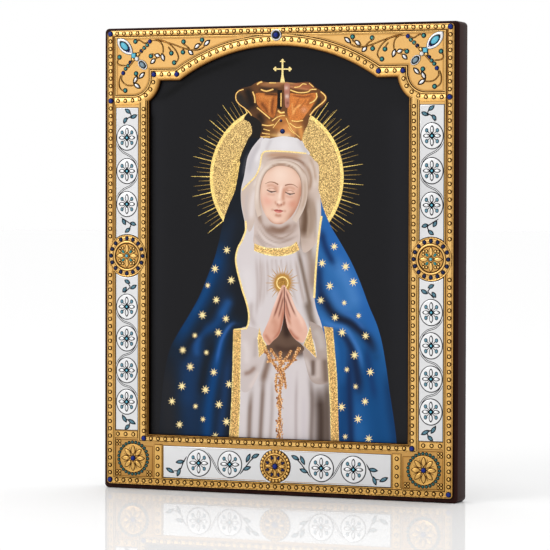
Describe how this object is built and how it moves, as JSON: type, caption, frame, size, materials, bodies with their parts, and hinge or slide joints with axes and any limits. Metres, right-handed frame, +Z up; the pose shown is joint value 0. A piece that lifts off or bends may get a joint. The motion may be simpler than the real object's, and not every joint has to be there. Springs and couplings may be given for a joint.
{
  "type": "icon panel",
  "caption": "Upright wooden icon board with a recessed arched picture, a beaded gilt cover with silver inlays, medallions and set blue and turquoise stones.",
  "frame": {"origin": "centre of the board's flat underside, on which the panel stands", "axes": "+Z up the panel, -Y out of its front, +X to the right of someone who looks at the front"},
  "size_m": [0.2044, 0.0175, 0.2515],
  "materials": {
    "wood": "dark brown varnish, satin",
    "picture": "printed sheet, satin",
    "gilt": "antiqued gold plating, dark in its recesses",
    "silver": "satin silver with darkened lines",
    "blue_stone": "glossy cabochon",
    "turquoise": "glossy cabochon",
    "pearl": "pearly",
    "grey_stone": "glossy cabochon"
  },
  "bodies": {
    "root": {"gilt_frame": "gilt", "jewel_oval_left": "silver", "jewel_oval_right": "silver", "jewel_wing_left": "silver", "jewel_wing_right": "silver", "pearl_left": "pearl", "pearl_right": "pearl", "picture_panel": "picture", "silver_strip_bottom_left": "silver", "silver_strip_bottom_right": "silver", "silver_strip_left_lower": "silver", "silver_strip_left_upper": "silver", "silver_strip_right_lower": "silver", "silver_strip_right_upper": "silver", "stone_arch_end_left": "blue_stone", "stone_arch_end_right": "blue_stone", "stone_bead_line_bottom_left": "blue_stone", "stone_bead_line_bottom_right": "blue_stone", "stone_bead_line_top_left": "blue_stone", "stone_bead_line_top_right": "blue_stone", "stone_bottom_rosette": "blue_stone", "stone_corner_bottom_left": "blue_stone", "stone_corner_bottom_right": "blue_stone", "stone_corner_rosette_left": "blue_stone", "stone_corner_rosette_right": "blue_stone", "stone_corner_top_left": "blue_stone", "stone_corner_top_right": "blue_stone", "stone_medallion_left": "turquoise", "stone_medallion_right": "turquoise", "stone_oval_left": "grey_stone", "stone_oval_right": "grey_stone", "stone_shoulder_inner_left": "blue_stone", "stone_shoulder_inner_right": "blue_stone", "stone_shoulder_outer_left": "blue_stone", "stone_shoulder_outer_right": "blue_stone", "stone_square_left": "turquoise", "stone_square_right": "turquoise", "stone_top": "blue_stone", "stone_window_corner_left": "blue_stone", "stone_window_corner_right": "blue_stone", "stone_wing_left": "turquoise", "stone_wing_right": "turquoise", "top_bezel": "silver", "wooden_board": "wood"}
  },
  "joints": []
}
